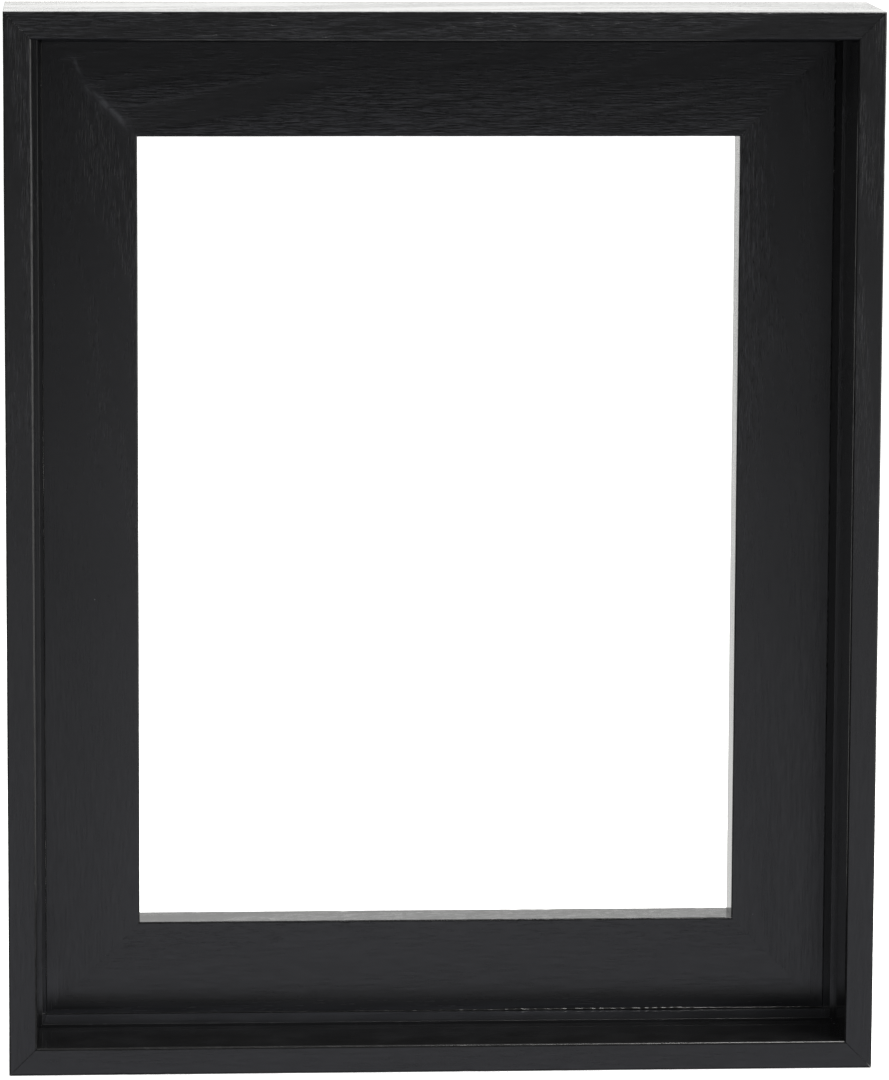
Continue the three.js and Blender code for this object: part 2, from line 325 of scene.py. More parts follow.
ROW_SPACING = 1.6 * MM
EDGE_REACH = 0.5 * MM
WAVE_HIGH = 0.012 * MM
WAVE_LENGTHS = (310 * MM, 140 * MM, 57 * MM)
DENTS_A_RAIL = 26


def carry(outline, side, gap, rng, corners):
    """A rail: point (j, i) has inset u_i and depth v_i, and lies w_j (half - u_i - gap) along the side."""
    half = SIDES[side][1]
    rows = int(2 * half / ROW_SPACING)
    share = np.linspace(-1, 1, rows)[:, None]
    inset = np.broadcast_to(outline[:, 0], (rows, len(outline)))
    depth = np.broadcast_to(outline[:, 1], inset.shape)
    along = share * (half - outline[:, 0] - gap)
    edge = near(outline, corners, EDGE_REACH)
    normal = outline_normals(outline)
    lift = WAVE_HIGH * waves(along, WAVE_LENGTHS, rng)
    lift = lift - edge * dents(along, half, DENTS_A_RAIL, rng)
    inset = inset + lift * normal[:, 0]
    depth = depth + lift * normal[:, 1]
    steps = np.linalg.norm(np.roll(outline, -1, axis=0) - outline, axis=1)
    around = np.broadcast_to(np.cumsum(steps) - steps, inset.shape)
    marks = {
        "grain": np.stack([along, around, np.full(inset.shape, rng.uniform(0, 5))], axis=-1).reshape(-1, 3),
        "edge": np.broadcast_to(edge, inset.shape).reshape(-1),
        "back": (depth > DEPTH - BACK_EASE / 2).astype(float).reshape(-1),
        "seam": beside_seam(inset, depth).reshape(-1),
        "open": openness_and_painted_light(inset).reshape(-1),
    }
    return placed(inset, depth, along, side), tube_faces(rows, len(outline)), marks


print("marks on a rail: grain, edge, back, seam, open")

# %% [markdown]
# ## The eight rails
#
# The outer moulding and the inner ledge are cut and joined separately, so each rail is a piece of its own
# and takes the place of its plain node. The lacquer has cracked along the mitres of the outer moulding,
# which leaves a gap a hair wide. The mitres of the ledge are filled and nearly closed.

# %% Lip rails and ledge rails
OPEN_MITRE = 0.09 * MM
TIGHT_MITRE = 0.012 * MM
lip_shape, ledge_shape = lip_outline(), ledge_outline()
lip_corners = [(0, 0), (LIP_FACE, 0)]
ledge_corners = [(OPENING_INSET, LEDGE_DEPTH), (OPENING_INSET, DEPTH)]
rails = []
for number, side in enumerate(SIDES):
    rng = np.random.default_rng(100 + number)
    for kind, shape, corners, gap in (
        ("lip_rail", lip_shape, lip_corners, OPEN_MITRE),
        ("ledge_rail", ledge_shape, ledge_corners, TIGHT_MITRE),
    ):
        points, faces, marks = carry(shape, side, gap, rng, corners)
        piece = make_piece(f"{kind}_{side}_wood", points, faces, marks=marks)
        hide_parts(f"{kind}_{side}")
        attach(piece, "frame")
        rails.append(piece)
print("rails:", [(p.name, len(p.data.vertices)) for p in rails])

# %% [markdown]
# ## The seam between lip and ledge
#
# Where the ledge is glued into the lip, glue and lacquer stand up in a thin uneven line, with beads, thin
# stretches and small breaks. It is a rounded string whose radius changes along the seam, half sunk in the
# corner. Bump alone would not catch the light as a raised line does, so it is made as real geometry.

# %% Lacquer line
SEAM_ROWS = 700
SEAM_RING = 8
SEAM_INSET = LEDGE_INSET + 0.1 * MM
SEAM_DEPTH = LEDGE_DEPTH + 0.02 * MM


def rough_line(place, rng):
    """Slow swells plus short beads, from 0 to about 1: linear noise at three spacings along the seam."""
    total = np.zeros_like(place)
    for spacing, share in ((24 * MM, 0.45), (6 * MM, 0.3), (1.3 * MM, 0.25)):
        knots = np.arange(place.min() - spacing, place.max() + 2 * spacing, spacing)
        total += share * np.interp(place, knots, rng.uniform(0, 1, len(knots)))
    return total


def seam_line(side, rng, thin, thick, lean):
    """A string on the ledge's corner, of radius (thin + (thick - thin) n(s)^2) (1 + lean s)."""
    half = SIDES[side][1]
    share = np.linspace(-1, 1, SEAM_ROWS)
    place = share * (half - LEDGE_INSET)
    radius = ((thin + (thick - thin) * rough_line(place, rng) ** 2) * (1 + lean * share))[:, None]
    angle = np.linspace(0, 2 * np.pi, SEAM_RING, endpoint=False)[None, :]
    inset = SEAM_INSET + radius * np.cos(angle)
    depth = SEAM_DEPTH + radius * np.sin(angle)
    along = share[:, None] * (half - inset - TIGHT_MITRE)
    marks = {
        "grain": np.stack([along, inset, 0 * inset + 9.0], axis=-1).reshape(-1, 3),
        "edge": np.full(inset.size, 0.9),
        "back": np.zeros(inset.size),
        "seam": np.zeros(inset.size),
        "open": np.zeros(inset.size),
    }
    return placed(inset, depth, along, side), tube_faces(SEAM_ROWS, SEAM_RING), marks


# For each side: radius at its thinnest and thickest in millimetres, and how it swells towards one end.
SEAMS = {
    "left": (0.02, 0.24, 0.0),
    "bottom": (0.24, 0.80, -0.45),
    "right": (0.02, 0.34, 0.0),
    "top": (0.10, 0.36, 0.0),
}
for number, (side, (thin, thick, lean)) in enumerate(SEAMS.items()):
    points, faces, marks = seam_line(side, np.random.default_rng(300 + number), thin * MM, thick * MM, lean)
    piece = make_piece(f"seam_line_{side}", points, faces, sharp=80, marks=marks)
    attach(piece, "frame")
    rails.append(piece)
print("seam lines:", list(SEAMS))

# %% [markdown]
# ## V-nails
#
# A mitre is held by V-nails: bent strips of steel pressed in from the back across the joint. Only their top
# edges show. Each is a strip that follows a softened V, so its point is a small curve and not a crease.

# %% V-nails in the twelve places of the fixed model
NAIL_THICK = 0.8 * MM
NAIL_PROUD = 0.06 * MM
NAIL_REACH = 3.9 * MM
NAIL_SWEEP = 2.5 * MM
NAIL_SHIFT = 1.6 * MM
NAIL_TIP = 0.02


def nail_shape(centre, direction, low_y):
    """A strip whose V is sweep sqrt(t^2 + tip) for t from -1 to 1, with half its sheet on either side."""
    t = np.linspace(-1, 1, 25)
    line = np.stack([NAIL_SWEEP * np.sqrt(t**2 + NAIL_TIP), NAIL_REACH * t], axis=1)
    tangent = np.gradient(line, axis=0)
    tangent /= np.linalg.norm(tangent, axis=1, keepdims=True)
    normal = np.stack([tangent[:, 1], -tangent[:, 0]], axis=1) * NAIL_THICK / 2
    ring = np.concatenate([line + normal, (line - normal)[::-1]])
    across = np.array([-direction[1], direction[0]])
    flat_xz = centre + ring[:, :1] * direction + ring[:, 1:] * across
    y = np.array([low_y, FRONT_Y + DEPTH + NAIL_PROUD * 0.4, FRONT_Y + DEPTH + NAIL_PROUD])
    scale = np.array([1, 1, 0.99])[:, None, None]
    xz = flat_xz.mean(axis=0) + scale * (flat_xz - flat_xz.mean(axis=0))
    points = np.stack([xz[..., 0], np.broadcast_to(y[:, None], xz.shape[:2]), xz[..., 1]], axis=-1)
    return points.reshape(-1, 3), tube_faces(3, len(ring))


metal = []
for node in [n for n in frame["nodes"] if n.startswith("v_nail")]:
    low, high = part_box(node)
    centre = np.array([(low.x + high.x) / 2, (low.z + high.z) / 2])
    inwards = -np.sign([centre[0], centre[1] - HALF_HEIGHT]) / math.sqrt(2)
    points, faces = nail_shape(centre - inwards * NAIL_SHIFT, inwards, low.y)
    piece = make_piece(f"{node}_steel", points, faces)
    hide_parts(node)
    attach(piece, "frame")
    metal.append(piece)
print("V-nails:", len(metal))

# %% [markdown]
# ## Strap hangers
#
# Each hanger is a steel strap rolled into an eye, a D-shaped ring of wire in the eye, and a pan-head screw.
# The strap is a thin rounded rectangle carried along a line that runs up the wood and then curls round the
# wire. Bending a flat mesh with a modifier would also work, but the carried section keeps its thickness
# exact all the way round the eye, which leaves the ring room to turn.

# %% The rolled strap
STRAP_THICK = 0.7 * MM
EYE_INSIDE = 1.15 * MM
TAIL_ROUND = 4 * MM


def rounded_bar(half_wide, half_thick, count=28):
    """A rounded rectangle as a superellipse ring: (a sgn(c)|c|^0.25, b sgn(s)|s|^0.5)."""
    angle = np.linspace(0, 2 * np.pi, count, endpoint=False)
    c, s = np.cos(angle), np.sin(angle)
    return half_wide * np.sign(c) * np.abs(c) ** 0.25, half_thick * np.sign(s) * np.abs(s) ** 0.5


def strap_points(pivot, tail, width):
    """Up the wood, then 295 degrees round the eye. Each side of the tail gives way by R - sqrt(R^2 - d^2)."""
    radius = EYE_INSIDE + STRAP_THICK / 2
    rounded = np.linspace(-tail, -tail + TAIL_ROUND, 16)
    run = np.concatenate([rounded, np.linspace(-tail + TAIL_ROUND + 1 * MM, -1 * MM, 18)])
    angle = np.radians(np.linspace(180, -115, 40))
    y = np.concatenate([np.full(run.size, -radius), radius * np.cos(angle)])
    z = np.concatenate([run, radius * np.sin(angle)])
    out_y = np.concatenate([np.full(run.size, -1.0), np.cos(angle)])
    out_z = np.concatenate([np.zeros(run.size), np.sin(angle)])
    left_over = TAIL_ROUND - np.clip(z + tail, 0.02 * MM, TAIL_ROUND)
    narrowing = TAIL_ROUND - np.sqrt(TAIL_ROUND**2 - left_over**2)
    on_wood = np.arange(z.size) < run.size
    wide, thick = rounded_bar(1.0, STRAP_THICK / 2)
    half = (width / 2 - np.where(on_wood, narrowing, 0))[:, None]
    x = half * wide[None, :]
    points = np.stack([x, y[:, None] + out_y[:, None] * thick, z[:, None] + out_z[:, None] * thick], axis=-1)
    return points + np.array(pivot), tube_faces(z.size, wide.size)


print("strap:", len(rounded_bar(1, 1)[0]), "points round its section")

# %% [markdown]
# ### D-ring
#
# The ring is bent from round wire: a straight bar through the eye, two tight corners and a half-round bow.
# A curve object with a bevel could draw it, but a round section carried along a closed line closes without
# a join and needs no conversion.

# %% The D-ring
WIRE = 0.9 * MM
WIRE_RING = 16


def ring_line(half, reach, corner=1.3 * MM):
    """A closed D below the x axis: a straight bar, two small corners, two short sides and a half circle."""
    bow_z = half - reach
    corners = arc((half - corner, -corner), corner, 90, 0, 8)
    bow = arc((0, bow_z), half, 0, -180, 40)
    left = arc((-half + corner, -corner), corner, 180, 90, 8)
    bar = np.stack([np.linspace(-half + corner, half - corner, 12)[1:-1], np.zeros(10)], axis=1)
    return np.concatenate([bar, corners, bow, left])


def ring_points(pivot, half, reach):
    """A round wire carried round the D: centre + r (cos a outward normal + sin a y)."""
    line = ring_line(half, reach)
    normal = outline_normals(line)
    angle = np.linspace(0, 2 * np.pi, WIRE_RING, endpoint=False)
    x = line[:, :1] + WIRE * np.cos(angle) * normal[:, :1]
    z = line[:, 1:] + WIRE * np.cos(angle) * normal[:, 1:]
    y = np.broadcast_to(WIRE * np.sin(angle), x.shape)
    points = np.stack([x, y, z], axis=-1) + np.array(pivot)
    return points, quads(len(line), WIRE_RING, close_rows=True)


print("wire of", 2000 * WIRE, "mm, line of", len(ring_line(7 * MM, 12 * MM)), "points")

# %% [markdown]
# ### Screw
#
# A pan-head screw is a turned shape, a profile spun round an axis. The cross recess isn't round, so the
# head's points are pushed down wherever they fall inside a cross, more in its middle than at the ends of
# its arms. A boolean would cut a sharper recess, and would leave ragged faces round it.

# %% The screw, with a cross recess in a domed head
def turned(profile, count):
    """Radius, angle and height of a turned surface: the profile's (r, h) at count angles round its axis."""
    angle = np.linspace(0, 2 * np.pi, count, endpoint=False)[None, :]
    radius = np.broadcast_to(profile[:, :1], (len(profile), count))
    height = np.broadcast_to(profile[:, 1:], radius.shape)
    return radius, np.broadcast_to(angle, radius.shape), height


HEAD_HIGH = 1.9 * MM
HEAD_RIM = 0.35 * MM
SHANK = 1.4 * MM
PITCH = 1.1 * MM
CROSS_TURN = 0.6
HEAD_RING = 144


def cross(x, z):
    """How deep the cross recess is: (1.1 mm - 0.35 far) where the arm is narrow and not too far out."""
    arm = np.minimum(np.abs(x), np.abs(z))
    far = np.maximum(np.abs(x), np.abs(z))
    narrow = 1 / (1 + np.exp((arm - 0.36 * MM) / (0.03 * MM)))
    short = 1 / (1 + np.exp((far - 1.75 * MM) / (0.05 * MM)))
    return narrow * short * (1.1 * MM - 0.35 * far)


def screw_points(seat, head, length):
    """A head h (0.45 + 0.55 sqrt(1 - (r / R)^2)) high, less its cross, on a shank ridged once a pitch."""
    under = np.linspace(length, 0.4 * MM, 90)
    taper = np.clip((length - under) / (3 * MM), 0.05, 1)
    thread = 0.12 * MM * (1 - np.abs(2 * ((under / PITCH) % 1) - 1)) * taper
    body = np.stack([(SHANK - 0.15 * MM) * taper + thread, -under], axis=1)
    rim = arc((head - HEAD_RIM, HEAD_RIM), HEAD_RIM, -90, 20, 8)
    r = np.linspace(head * 0.985, 0.02 * MM, 72)
    crown = np.stack([r, HEAD_HIGH * (0.45 + 0.55 * np.sqrt(np.clip(1 - (r / head) ** 2, 0, 1)))], axis=1)
    radius, angle, height = turned(np.concatenate([body, [(SHANK, 0.0)], rim, crown]), HEAD_RING)
    x, z = radius * np.cos(angle + CROSS_TURN), radius * np.sin(angle + CROSS_TURN)
    sink = np.where(height > HEAD_HIGH * 0.4, cross(x, z), 0)
    return np.stack([x, height - sink, z], axis=-1) + np.array(seat), tube_faces(*radius.shape)


print("depth of the cross in its middle:", cross(0.0, 0.0))

# %% [markdown]
# ### Both hangers in place
#
# The places come from the fixed model: the joint gives the axis of each eye, and the boxes of the plain
# nodes give the widths and lengths. The ring rides on its own moving body, and the strap and the screw stay
# with the frame.

# %% Place both hangers
screws = []
for hand in ("left", "right"):
    strap_low, strap_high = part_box(f"hanger_strap_{hand}")
    ring_low, ring_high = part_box(f"hanger_ring_{hand}")
    screw_low, screw_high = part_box(f"hanger_screw_{hand}")
    joint = next(j for j in frame["joints"] if j["name"] == f"ring_{hand}_swing")
    pivot = np.array(joint["pos_m"])
    tail = pivot[2] - strap_low.z
    points, faces = strap_points(pivot, tail, strap_high.x - strap_low.x)
    strap = make_piece(f"hanger_strap_{hand}_steel", points, faces)
    half = (ring_high.x - ring_low.x) / 2 - WIRE
    points, faces = ring_points(pivot, half, pivot[2] - ring_low.z - WIRE)
    ring = make_piece(f"hanger_ring_{hand}_wire", points, faces, sharp=80)
    head = (screw_high.x - screw_low.x) / 2
    seat_y = screw_high.y - HEAD_HIGH
    seat = ((screw_low.x + screw_high.x) / 2, seat_y, (screw_low.z + screw_high.z) / 2)
    points, faces = screw_points(seat, head, seat_y - screw_low.y)
    screw = make_piece(f"hanger_screw_{hand}_steel", points, faces, sharp=50)
    for piece, node, body, finish in (
        (strap, f"hanger_strap_{hand}", "frame", "zinc_steel"),
        (ring, f"hanger_ring_{hand}", f"ring_{hand}", "zinc_steel"),
        (screw, f"hanger_screw_{hand}", "frame", "screw_brass"),
    ):
        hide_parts(node)
        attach(piece, body)
    metal += [strap, ring]
    screws.append(screw)
    print("hanger:", hand, "pivot", pivot)

# %% [markdown]
# ## Rubber bumpers
#
# A soft bumper at each back corner keeps the frame off the wall. It is a turned shape like the screw: a
# short straight rim, a rounded shoulder and a nearly flat tip with a slight hollow from the mould.

# %% Bumpers
BUMPER_RING = 48
BUMPER_RIM = 0.6 * MM
BUMPER_HOLLOW = 0.08 * MM


def bumper_profile(base, top, high):
    """Rim, quarter-ellipse shoulder, and a tip of radius T that is hollowed by d (1 - (r / T)^2)."""
    angle = np.radians(np.linspace(0, 90, 16))
    shoulder_high = BUMPER_RIM + (high - BUMPER_RIM) * np.sin(angle)
    shoulder = np.stack([top + (base - top) * np.cos(angle), shoulder_high], axis=1)
    r = np.linspace(top - 0.15 * MM, 0.05 * MM, 14)
    tip = np.stack([r, high - BUMPER_HOLLOW * (1 - (r / top) ** 2)], axis=1)
    return np.concatenate([[(base, 0.0)], [(base, BUMPER_RIM / 2)], shoulder, tip])


bumpers = []
for node in [n for n in frame["nodes"] if n.startswith("bumper")]:
    low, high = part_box(node)
    base = (high.x - low.x) / 2
    radius, angle, height = turned(bumper_profile(base, base * 2 / 3, high.y - low.y), BUMPER_RING)
    seat = np.array([(low.x + high.x) / 2, low.y, (low.z + high.z) / 2])
    points = np.stack([radius * np.cos(angle), height, radius * np.sin(angle)], axis=-1) + seat
    piece = make_piece(f"{node}_rubber", points, tube_faces(*radius.shape), sharp=50)
    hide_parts(node)
    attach(piece, "frame")
    bumpers.append(piece)
print("bumpers:", len(bumpers))

# %% [markdown]
# ## Finishes
#
# Every finish is worked out in nodes. Three effects are node groups with named inputs: the grain of the
# wood under the lacquer, wear along edges, and dust. A group gives out only masks and heights. The shader
# itself, with its fixed numbers, stays in each material. A few helpers keep the node trees readable: each
# adds one node, feeds it and returns its output socket.

# %% Node helpers
def add_node(tree, kind, **settings):
    """A new node with its settings."""
    node = tree.nodes.new(kind)
    for key, value in settings.items():
        setattr(node, key, value)
    return node


def feed(tree, socket, value):
    """Links a socket, or sets its own value when given a number or a colour."""
    if isinstance(value, bpy.types.NodeSocket):
        tree.links.new(value, socket)
    else:
        socket.default_value = value


def calc(tree, operation, *values, clamp=False):
    """One Math node, fed with sockets or numbers."""
    node = add_node(tree, "ShaderNodeMath", operation=operation, use_clamp=clamp)
    for socket, value in zip(node.inputs, values):
        feed(tree, socket, value)
    return node.outputs[0]


def product(tree, first, *others):
    """The product of several sockets."""
    for other in others:
        first = calc(tree, "MULTIPLY", first, other)
    return first


def ramp(tree, value, low, high, to_low=0.0, to_high=1.0):
    """Smooth step of a value from low to high, spread from to_low to to_high."""
    node = add_node(tree, "ShaderNodeMapRange", interpolation_type="SMOOTHSTEP")
    for socket, number in zip(node.inputs, (value, low, high, to_low, to_high)):
        feed(tree, socket, number)
    return node.outputs[0]


def blend_colour(tree, share, first, second):
    """Mixes two colours by a share."""
    node = add_node(tree, "ShaderNodeMix", data_type="RGBA")
    for index, value in ((0, share), (6, first), (7, second)):
        feed(tree, node.inputs[index], value)
    return node.outputs[2]


def noise(tree, vector, scale, detail=2.0, roughness=0.5):
    """Noise of a vector, about 0 to 1."""
    node = add_node(tree, "ShaderNodeTexNoise")
    feed(tree, node.inputs["Vector"], vector)
    for key, value in (("Scale", scale), ("Detail", detail), ("Roughness", roughness)):
        node.inputs[key].default_value = value
    return node.outputs["Fac"]


def stretched(tree, vector, scale):
    """A vector with its three parts multiplied by a scale."""
    node = add_node(tree, "ShaderNodeMapping", vector_type="POINT")
    feed(tree, node.inputs["Vector"], vector)
    node.inputs["Scale"].default_value = scale
    return node.outputs["Vector"]


def turned_vector(tree, vector, degrees):
    """A vector turned about its third part."""
    node = add_node(tree, "ShaderNodeVectorRotate", rotation_type="Z_AXIS")
    feed(tree, node.inputs["Vector"], vector)
    node.inputs["Angle"].default_value = math.radians(degrees)
    return node.outputs[0]


def new_group(name, inputs, outputs):
    """An empty shader node group with named sockets, each given as (name, kind, default)."""
    tree = bpy.data.node_groups.new(name, "ShaderNodeTree")
    for label, kind, default in inputs:
        socket = tree.interface.new_socket(name=label, in_out="INPUT", socket_type=kind)
        if default is not None:
            socket.default_value = default
    for label, kind in outputs:
        tree.interface.new_socket(name=label, in_out="OUTPUT", socket_type=kind)
    return tree, add_node(tree, "NodeGroupInput").outputs, add_node(tree, "NodeGroupOutput").inputs


def use_group(tree, group, **values):
    """Places a group in a material and feeds its inputs by name, with _ for a space."""
    node = add_node(tree, "ShaderNodeGroup", node_tree=group)
    for key, value in values.items():
        feed(tree, node.inputs[key.replace("_", " ")], value)
    return node.outputs


print("a colour mix reads its sockets 0, 6 and 7, and gives out socket 2")

# %% [markdown]
# ### Grain
#
# Open-pored wood still shows under sprayed lacquer: long fine streaks along each rail, less than a
# millimetre apart, broken into strokes, with shallow pores between them, and a slow figure that leans a
# little across the board. Each is the same noise, stretched by its own scale along the rail and round its
# section. An image of wood would repeat, and would need the rails unwrapped.

# %% Group: wood grain
grain_group, grain_in, grain_out = new_group(
    "wood_grain",
    [("Rail", "NodeSocketVector", None)],
    [("Streaks", "NodeSocketFloat"), ("Pores", "NodeSocketFloat"), ("Figure", "NodeSocketFloat")],
)
STREAK_SCALE, FINE_SCALE = (110, 1500, 1), (240, 3200, 1)
PORE_SCALE, FIGURE_SCALE = (260, 3400, 1), (11, 85, 1)
FIGURE_LEAN = 9
rail = grain_in["Rail"]
streaks = noise(grain_group, stretched(grain_group, rail, STREAK_SCALE), 1.0, 2.0)
fine = noise(grain_group, stretched(grain_group, rail, FINE_SCALE), 1.0, 1.0)
pores = noise(grain_group, stretched(grain_group, rail, PORE_SCALE), 1.0, 0.0)
leaning = turned_vector(grain_group, rail, FIGURE_LEAN)
figure = noise(grain_group, stretched(grain_group, leaning, FIGURE_SCALE), 1.0, 2.0)
both = calc(grain_group, "MULTIPLY_ADD", fine, 0.4, calc(grain_group, "MULTIPLY", streaks, 0.6))
feed(grain_group, grain_out["Streaks"], both)
feed(grain_group, grain_out["Pores"], ramp(grain_group, pores, 0.62, 0.74))
feed(grain_group, grain_out["Figure"], figure)
print("group:", grain_group.name)

# %% [markdown]
# ### Edge wear
#
# Handling rubs the lacquer thin along the arrises. The mesh carries a mark that is 1 on an edge, and noise
# breaks the rubbed line into short patches. Geometry's Pointiness would find edges by itself, but it
# depends on how finely each mesh is cut, and the mark doesn't.

# %% Group: edge wear
wear_group, wear_in, wear_out = new_group(
    "edge_wear",
    [
        ("Edge", "NodeSocketFloat", 0.0),
        ("Position", "NodeSocketVector", None),
        ("Amount", "NodeSocketFloat", 0.5),
    ],
    [("Mask", "NodeSocketFloat")],
)
patches = noise(wear_group, wear_in["Position"], 420.0, 3.0)
rubbed = calc(wear_group, "MULTIPLY", wear_in["Edge"], ramp(wear_group, patches, 0.50, 0.66))
feed(wear_group, wear_out["Mask"], calc(wear_group, "MULTIPLY", rubbed, wear_in["Amount"], clamp=True))
print("group:", wear_group.name)

# %% [markdown]
# ### Dust
#
# Black lacquer shows every speck. A Voronoi pattern gives one point per cell, only the cells with a high
# random value keep theirs, and a thin haze lies on faces that look up.

# %% Group: dust
dust_group, dust_in, dust_out = new_group(
    "dust",
    [
        ("Position", "NodeSocketVector", None),
        ("Specks", "NodeSocketFloat", 1.0),
        ("Haze", "NodeSocketFloat", 0.1),
    ],
    [("Mask", "NodeSocketFloat")],
)
cells = add_node(dust_group, "ShaderNodeTexVoronoi")
feed(dust_group, cells.inputs["Vector"], dust_in["Position"])
cells.inputs["Scale"].default_value = 170.0
picked = add_node(dust_group, "ShaderNodeSeparateColor")
feed(dust_group, picked.inputs[0], cells.outputs["Color"])
speck = ramp(dust_group, cells.outputs["Distance"], 0.030, 0.016)
speck = calc(dust_group, "MULTIPLY", speck, ramp(dust_group, picked.outputs[0], 0.86, 0.95))
up = add_node(dust_group, "ShaderNodeSeparateXYZ")
feed(dust_group, up.inputs[0], add_node(dust_group, "ShaderNodeNewGeometry").outputs["Normal"])
settled = ramp(dust_group, up.outputs["Z"], 0.2, 0.9)
clouds = ramp(dust_group, noise(dust_group, dust_in["Position"], 90.0, 4.0), 0.35, 0.75)
haze = product(dust_group, settled, clouds, dust_in["Haze"])
specks = calc(dust_group, "MULTIPLY", speck, dust_in["Specks"])
feed(dust_group, dust_out["Mask"], calc(dust_group, "MAXIMUM", specks, haze))
print("group:", dust_group.name)

# %% [markdown]
# ### Starting a material
#
# Every material begins in the same way: one Principled shader, whose fixed numbers are set on its own
# sockets, and the Object coordinates, which lie still on a piece however it is moved.

# %% Start a material
def new_material(name, **numbers):
    """A material with one Principled shader and its fixed numbers, and an Object-coordinate socket."""
    material = bpy.data.materials.new(name)
    material.use_nodes = True
    tree = material.node_tree
    tree.nodes.clear()
    shader = add_node(tree, "ShaderNodeBsdfPrincipled")
    output = add_node(tree, "ShaderNodeOutputMaterial")
    tree.links.new(shader.outputs[0], output.inputs[0])
    for key, value in numbers.items():
        shader.inputs[key.replace("_", " ")].default_value = value
    position = add_node(tree, "ShaderNodeTexCoord").outputs["Object"]
    return material, tree, shader, position


def mark(tree, name, output="Fac"):
    """Reads an attribute that the mesh carries."""
    return add_node(tree, "ShaderNodeAttribute", attribute_name=name).outputs[output]


def bump(tree, height, distance):
    """A Bump node at full strength: a height of 1 stands for the distance, in metres."""
    node = add_node(tree, "ShaderNodeBump")
    node.inputs["Strength"].default_value = 1.0
    node.inputs["Distance"].default_value = distance
    feed(tree, node.inputs["Height"], height)
    return node.outputs["Normal"]


print("a material takes its marks from the mesh: grain, edge, back, seam, open")

# %% [markdown]
# ### Satin black lacquer: its masks
#
# Four things break up the black, and each is a mask from 0 to 1. Grain shows through in patches, most near
# the opening and high on the frame. Beside the seam of the bottom rail the dark recess is lifted to a bluish
# grey, which is painted light. A scuff runs along the mitre at the upper left of the ledge, with a small hook
# at its top. And the back was only misted over, so the brown of the bare wood shows there. The open mark also
# leaves the ledge darker beside the recess wall, which is painted shade of the lip.

# %% Masks of the lacquer
SCUFF_WIDE, SCUFF_HALO = 2.5 * MM, 6.0 * MM
HOOK_HIGH = 3.5 * MM
HOOK_FOOT, HOOK_TOP = -0.1085, -0.1115

# Limits of the scuff: along which axis, where it is still nothing, and where it is whole.
SCUFF_LIMITS = (
    ("X", -0.0915, -0.0970),
    ("X", -0.1150, -0.1110),
    ("Z", 0.283, 0.290),
    ("Y", 0.0, 0.005),
    ("Y", 0.013, 0.010),
)


def grain_relief(tree, figure, height):
    """How far the grain stands out: more high up, in patches of the figure, times how open it is."""
    high_up = ramp(tree, height, 0.10, 0.29, 0.12, 1.0)
    patches = ramp(tree, figure, 0.40, 0.58, 0.12, 1.0)
    return product(tree, high_up, patches, mark(tree, "open"))


def painted_seam_light(tree, height):
    """Painted light beside the seam: a bluish lift of the shaded recess, uneven along the rail, and strong
    only on the lowest 16 mm.
    """
    run = noise(tree, stretched(tree, mark(tree, "grain", "Vector"), (28, 700, 1)), 1.0, 2.0)
    uneven = ramp(tree, run, 0.25, 0.65, 0.55, 1.0)
    return product(tree, mark(tree, "seam"), uneven, ramp(tree, height, 0.034, 0.016, 0.12, 1.0))


def mitre_scuff(tree, position, place):
    """A rub near X + Z = height - width / 2, which is the upper left mitre, within its limits."""
    above = calc(tree, "ADD", place["X"], place["Z"])
    above = calc(tree, "SUBTRACT", above, 2 * HALF_HEIGHT - HALF_WIDTH)
    hook = ramp(tree, place["X"], HOOK_FOOT, HOOK_TOP, 0.0, HOOK_HIGH)
    beside = calc(tree, "ABSOLUTE", calc(tree, "SUBTRACT", above, hook))
    broken = ramp(tree, noise(tree, position, 240.0, 5.0, 0.6), 0.34, 0.68, 0.12, 1.0)
    core = calc(tree, "MULTIPLY", ramp(tree, beside, SCUFF_WIDE, 0.1 * MM), broken)
    scuff = calc(tree, "MAXIMUM", core, ramp(tree, beside, SCUFF_HALO, 0.5 * MM, 0.0, 0.14))
    for axis, low, high in SCUFF_LIMITS:
        scuff = calc(tree, "MULTIPLY", scuff, ramp(tree, place[axis], low, high))
    return scuff


print("the scuff lies on X + Z =", round(2 * HALF_HEIGHT - HALF_WIDTH, 3))

# %% [markdown]
# ### Satin black lacquer: its gloss
#
# The paint is nearly black, so what is seen of it is its gloss. The streaks and the figure of the wood vary
# the roughness, and the edges, sprayed from two sides, are a little smoother. Satin lacquer also turns
# mirror-like when it is looked at along the surface, so Layer Weight's Facing lowers the roughness there.

# %% Gloss of the lacquer
def lacquer_gloss(tree, grain, wear, back):
    """Roughness: streaks 0.20 to 0.26, plus shares of figure, back, edge and wear, times a slant factor."""
    gloss = ramp(tree, grain["Streaks"], 0.3, 0.7, 0.20, 0.26)
    for value, share in ((grain["Figure"], 0.04), (back, 0.2), (mark(tree, "edge"), -0.06), (wear, 0.1)):
        gloss = calc(tree, "MULTIPLY_ADD", value, share, gloss)
    slant = add_node(tree, "ShaderNodeLayerWeight")
    slant.inputs["Blend"].default_value = 0.5
    return calc(tree, "MULTIPLY", gloss, ramp(tree, slant.outputs["Facing"], 0.45, 0.80, 1.0, 0.42))


print("roughness from", 0.20 * 0.42, "to", 0.26 + 0.04 + 0.2 + 0.1)

# %% [markdown]
# ### Satin black lacquer: the material
#
# The colour starts from two blacks and is covered step by step, each step a mix by one mask. The relief of
# the grain goes into a bump together with a faint ripple from the spray gun, which softens every
# reflection.

